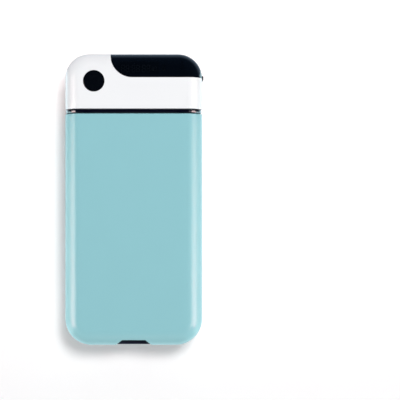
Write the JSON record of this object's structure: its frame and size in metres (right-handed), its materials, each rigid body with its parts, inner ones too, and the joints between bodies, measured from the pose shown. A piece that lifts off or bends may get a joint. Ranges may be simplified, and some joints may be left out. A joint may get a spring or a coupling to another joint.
{
  "type": "timed lock container",
  "caption": "Pocket timed lock container: a rounded sleeve slides off an inner tray once the timer head draws its motor-driven bolt out of the strike plate.",
  "frame": {"origin": "centre of the flat back face, where the case lies", "axes": "+Z out of the front face, +Y towards the head with the display, +X to the right as the front is read"},
  "size_m": [0.0637, 0.134, 0.0302],
  "materials": {
    "mint_abs": "moulded ABS, satin to glossy pale blue-green",
    "white_abs": "moulded ABS, glossy white",
    "smoked_window": "moulded smoked acrylic, high gloss",
    "black_gloss": "moulded ABS, glossy black",
    "collar_black": "moulded ABS, glossy blue-black",
    "navy_abs": "moulded ABS, satin navy grey",
    "bright_steel": "bright zinc-plated steel",
    "stamped_steel": "stamped stainless steel",
    "zinc_casting": "die-cast zinc, as cast",
    "acetal": "moulded acetal, natural",
    "brass_pinion": "turned brass",
    "circuit_board": "glass-epoxy board under green solder mask",
    "chip_black": "moulded epoxy chip body",
    "tinned_metal": "tinned copper",
    "capacitor_tan": "sintered ceramic chip",
    "switch_black": "moulded nylon",
    "switch_plunger": "moulded nylon",
    "cell_foil": "aluminium laminate pouch",
    "foam_grey": "closed-cell foam",
    "wire_red": "PVC wire insulation",
    "connector_cream": "moulded nylon",
    "display_face": "display module housing",
    "segment_white": "unlit display figures",
    "light_clear": "clear moulded light pipe",
    "led_white": "LED package"
  },
  "bodies": {
    "head_and_tray": {"battery": "cell_foil", "battery_connector": "connector_cream", "battery_leads": "wire_red", "battery_pad": "foam_grey", "board_capacitors": "capacitor_tan", "buzzer": "switch_black", "case_screws": "bright_steel", "charger_chip": "chip_black", "closure_plunger": "switch_plunger", "closure_switch": "switch_black", "collar": "collar_black", "controller_chip": "chip_black", "controller_leads": "tinned_metal", "display_module": "display_face", "display_segments": "segment_white", "display_window": "smoked_window", "front_board": "circuit_board", "front_board_screws": "bright_steel", "front_switch_body": "switch_black", "gear_axle": "bright_steel", "head_front_cover": "white_abs", "head_rear_cover": "white_abs", "light_pipes": "light_clear", "link_housings": "connector_cream", "link_pins": "tinned_metal", "lock_base": "zinc_casting", "lock_base_screws": "bright_steel", "lock_motor": "stamped_steel", "main_board": "circuit_board", "main_board_screws": "bright_steel", "motor_driver": "chip_black", "power_inductor": "chip_black", "side_switch_body": "switch_black", "socket_shell": "tinned_metal", "socket_tongue": "switch_black", "status_lights": "led_white", "tray": "navy_abs"},
    "sleeve": {"sleeve": "mint_abs", "strike_plate": "stamped_steel"},
    "front_button": {"front_button_cap": "black_gloss", "front_switch_plunger": "switch_plunger"},
    "side_key": {"side_key_cap": "black_gloss", "side_switch_plunger": "switch_plunger"},
    "lock_bolt": {"lock_bolt": "stamped_steel"},
    "reduction_gear": {"reduction_gear": "acetal"},
    "motor_rotor": {"motor_pinion": "brass_pinion", "motor_shaft": "bright_steel"}
  },
  "joints": [
    {"name": "sleeve_slide", "type": "slide", "parent": "head_and_tray", "child": "sleeve", "axis": [0, -1, 0], "range_m": [0, 0.088]},
    {"name": "front_button_press", "type": "slide", "parent": "head_and_tray", "child": "front_button", "axis": [0, 0, -1], "range_m": [0, 0.0005], "stiffness_N_per_m": 2500, "springref_m": -0.0001},
    {"name": "side_key_press", "type": "slide", "parent": "head_and_tray", "child": "side_key", "axis": [-1, 0, 0], "range_m": [0, 0.0003], "stiffness_N_per_m": 3000, "springref_m": -0.0001},
    {"name": "bolt_slide", "type": "slide", "parent": "head_and_tray", "child": "lock_bolt", "axis": [-1, 0, 0], "range_m": [0, 0.004]},
    {"name": "reduction_spin", "type": "hinge", "parent": "head_and_tray", "child": "reduction_gear", "pos_m": [0.017, 0.05038, 0.0244], "axis": [0, 0, -1], "range_deg": [0, 76.4]},
    {"name": "motor_spin", "type": "hinge", "parent": "head_and_tray", "child": "motor_rotor", "pos_m": [0.0102, 0.05038, 0.0244], "axis": [0, 0, 1], "range_deg": [0, 183.4]}
  ],
  "couplings": [
    {"joint": "reduction_spin", "follows": "bolt_slide", "rad_per_m": 333.33},
    {"joint": "motor_spin", "follows": "bolt_slide", "rad_per_m": 800}
  ]
}
